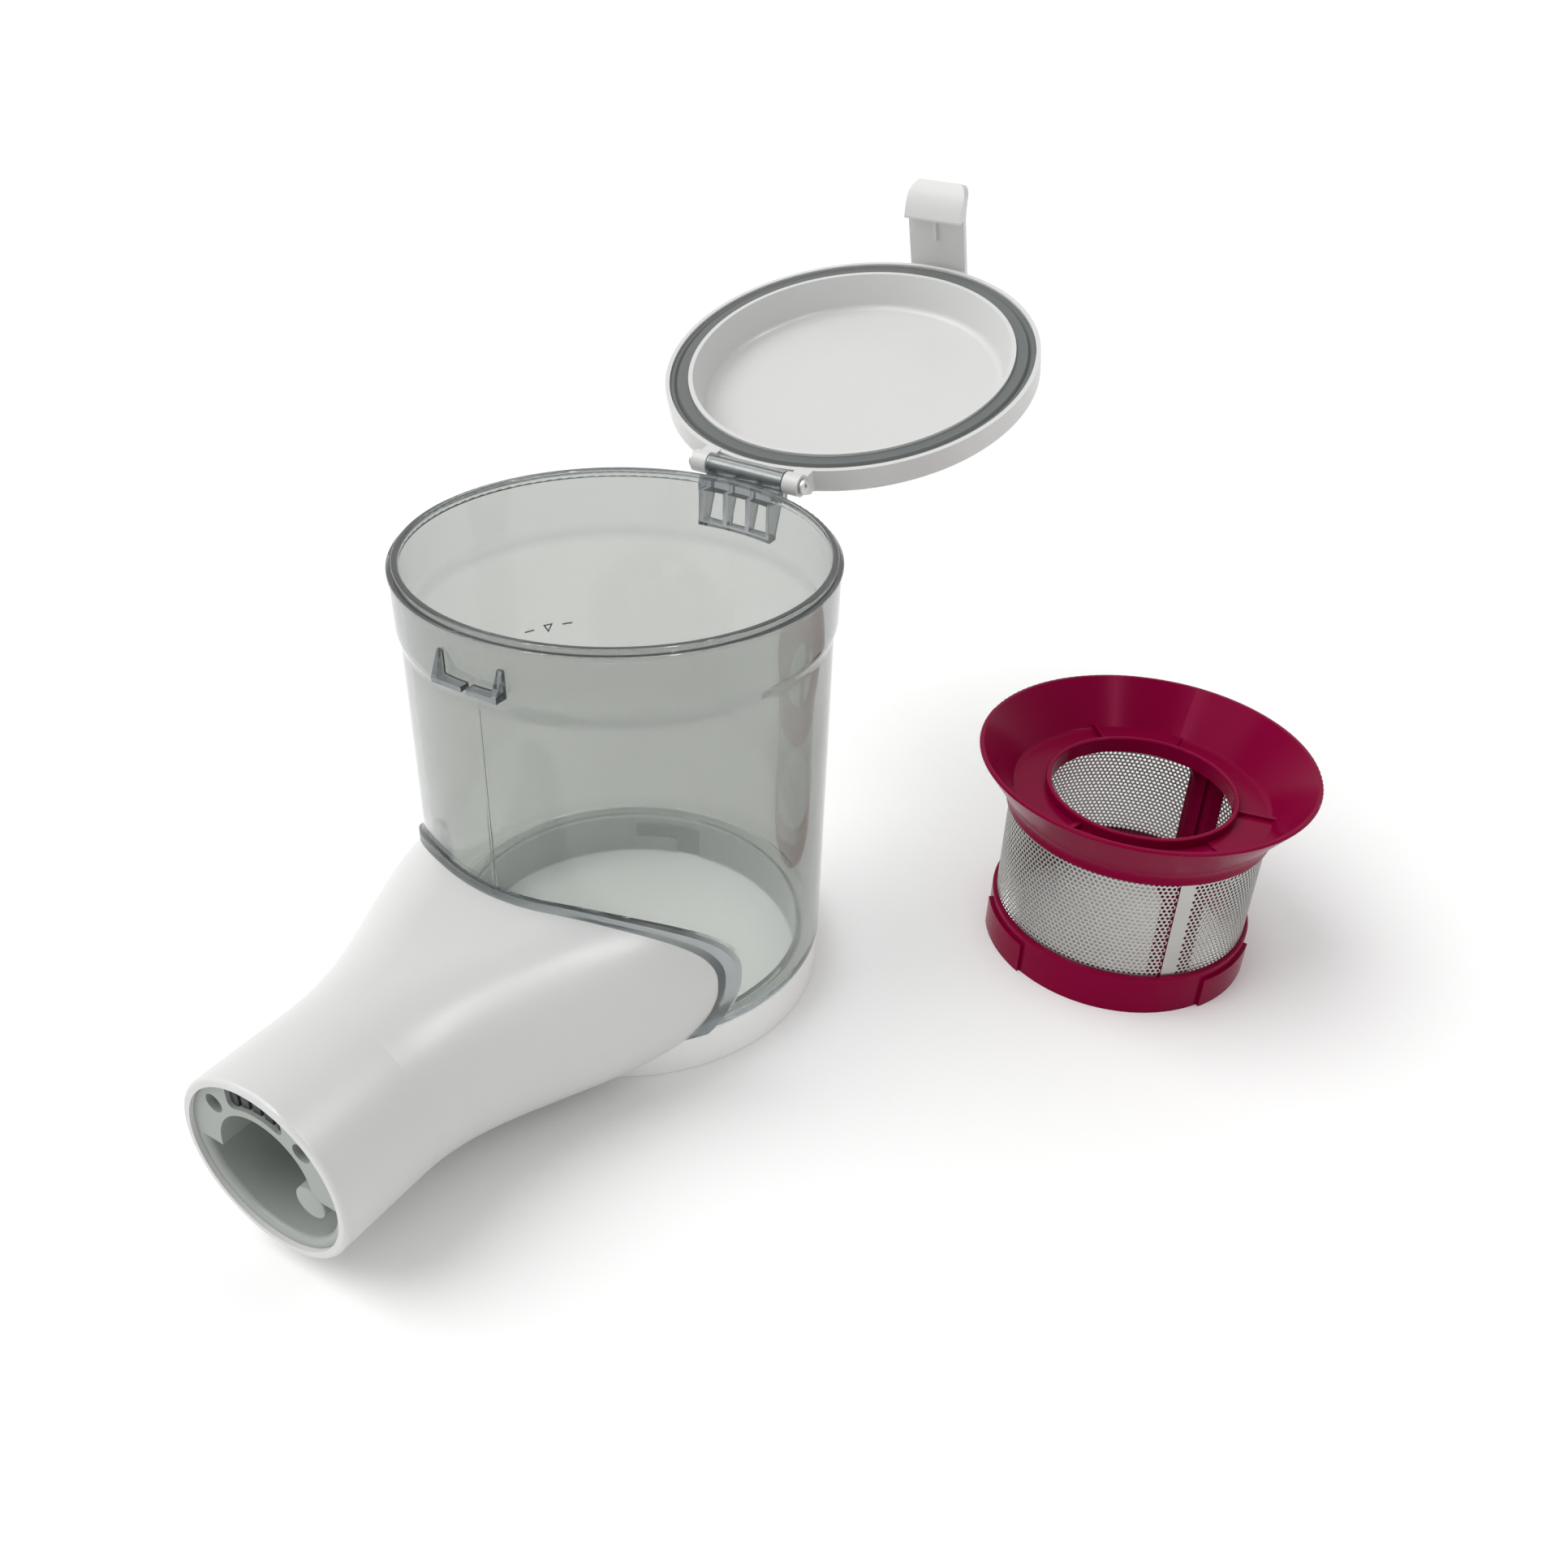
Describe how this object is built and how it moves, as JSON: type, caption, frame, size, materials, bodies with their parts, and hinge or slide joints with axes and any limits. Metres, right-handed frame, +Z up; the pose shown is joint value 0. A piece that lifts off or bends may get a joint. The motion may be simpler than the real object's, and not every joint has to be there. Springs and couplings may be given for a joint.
{
  "type": "cyclone dust bin",
  "caption": "Clear vacuum dust cup with a hinged snap lid, a flared inlet duct with a keyed wand socket, and a lift-out perforated cyclone screen standing beside it.",
  "frame": {"origin": "centre of the round opening under the cup, at the plane that the bin stands on", "axes": "+Z up along the cup's axis to the lid's rim, -X along the inlet duct to its socket, the lid's hinge at +X"},
  "size_m": [0.322, 0.2309, 0.1959],
  "materials": {
    "clear_plastic": "clear, faintly smoky, glossy",
    "white_plastic": "smooth satin",
    "grey_plastic": "matt moulded",
    "dark_plastic": "matt moulded",
    "contact_metal": "plated spring strip",
    "gasket_rubber": "soft matt",
    "crimson_plastic": "fine satin",
    "perforated_steel": "bright etched sheet",
    "steel": "bright drawn wire"
  },
  "bodies": {
    "bin": {"dust_cup": "clear_plastic", "foot_ring": "white_plastic", "inlet_duct": "white_plastic", "socket_liner": "grey_plastic", "liner_screws": "steel", "contact_block": "dark_plastic", "contact_blades": "contact_metal", "hinge_pin": "steel", "screen_skirt": "crimson_plastic", "screen_sheet": "perforated_steel", "screen_base": "crimson_plastic"},
    "lid": {"lid": "white_plastic", "lid_gasket": "gasket_rubber"}
  },
  "joints": [
    {"name": "lid_hinge", "type": "hinge", "parent": "bin", "child": "lid", "pos_m": [0.0625, 0, 0.1325], "axis": [0, -1, 0], "range_deg": [0, 162.5]}
  ]
}
